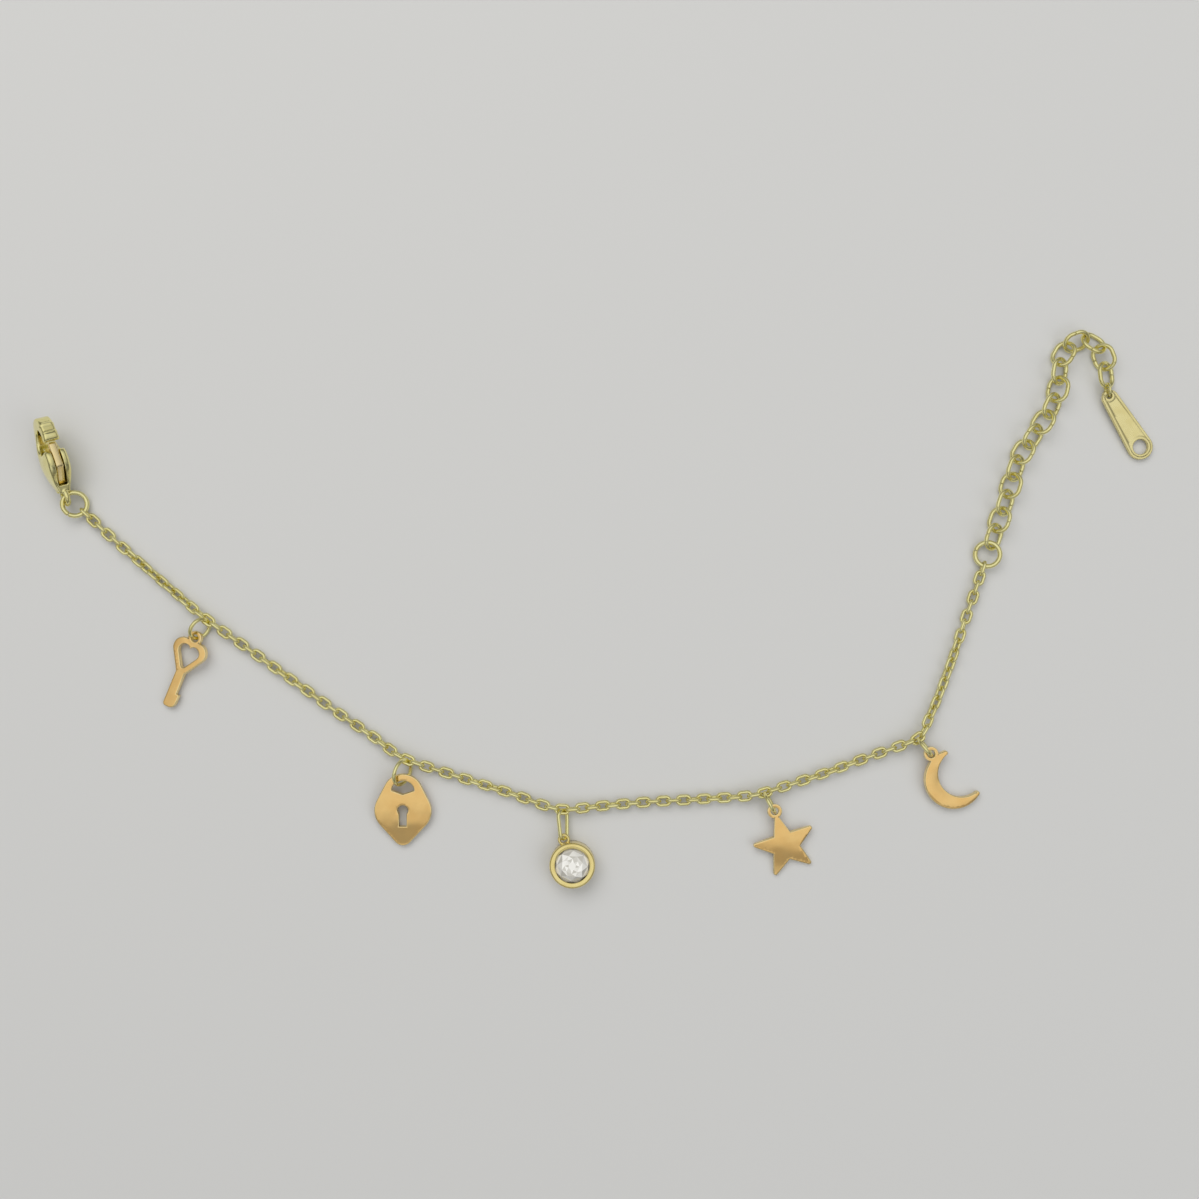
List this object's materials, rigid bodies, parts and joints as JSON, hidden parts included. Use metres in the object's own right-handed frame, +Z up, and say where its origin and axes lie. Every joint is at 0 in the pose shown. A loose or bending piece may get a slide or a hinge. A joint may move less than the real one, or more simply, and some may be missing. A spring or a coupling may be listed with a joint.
{
  "type": "charm bracelet",
  "caption": "Slim gold-coloured charm bracelet laid open, with key, padlock, stone, star and moon charms, a sprung clasp, and an extender chain ending in a small tag.",
  "frame": {"origin": "centre of the bracelet's footprint, on the surface that it lies on", "axes": "+X along the opened bracelet from the clasp to the extender, +Y away from the charms, +Z up from the surface"},
  "size_m": [0.1508, 0.075, 0.0065],
  "materials": {
    "pale_gold": "polished, pale yellow plated",
    "warm_gold": "mirror polished, warm yellow plated",
    "clear_stone": "faceted, clear and colourless"
  },
  "bodies": {
    "bracelet": {"clasp_body": "pale_gold", "clasp_ring": "pale_gold", "clasp_end_link": "pale_gold", "chain_run_1": "pale_gold", "key_link": "pale_gold", "key_ring": "pale_gold", "key_charm": "warm_gold", "chain_run_2": "pale_gold", "padlock_link": "pale_gold", "padlock_ring": "pale_gold", "padlock_charm": "warm_gold", "chain_run_3": "pale_gold", "stone_link": "pale_gold", "stone_bail": "pale_gold", "stone_setting": "pale_gold", "stone": "clear_stone", "chain_run_4": "pale_gold", "star_link": "pale_gold", "star_ring": "pale_gold", "star_charm": "warm_gold", "chain_run_5": "pale_gold", "moon_link": "pale_gold", "moon_ring": "pale_gold", "moon_charm": "warm_gold", "chain_run_6": "pale_gold", "extender_end_link": "pale_gold", "extender_ring": "pale_gold", "extender_link_01": "pale_gold", "extender_link_02": "pale_gold", "extender_link_03": "pale_gold", "extender_link_04": "pale_gold", "extender_link_05": "pale_gold", "extender_link_06": "pale_gold", "extender_link_07": "pale_gold", "extender_link_08": "pale_gold", "extender_link_09": "pale_gold", "extender_link_10": "pale_gold", "extender_link_11": "pale_gold", "extender_link_12": "pale_gold", "extender_link_13": "pale_gold", "extender_link_14": "pale_gold", "extender_link_15": "pale_gold", "extender_link_16": "pale_gold", "tag_ring": "pale_gold", "end_tag": "pale_gold"},
    "lever": {"clasp_lever": "pale_gold"}
  },
  "joints": [
    {"name": "clasp_lever_swing", "type": "hinge", "parent": "bracelet", "child": "lever", "pos_m": [-0.07179, 0.01755, 0.00242], "axis": [-0.7995, -0.3069, 0.5163], "range_deg": [0, 22], "stiffness_Nm_per_rad": 0.005, "springref_deg": -17.19}
  ]
}
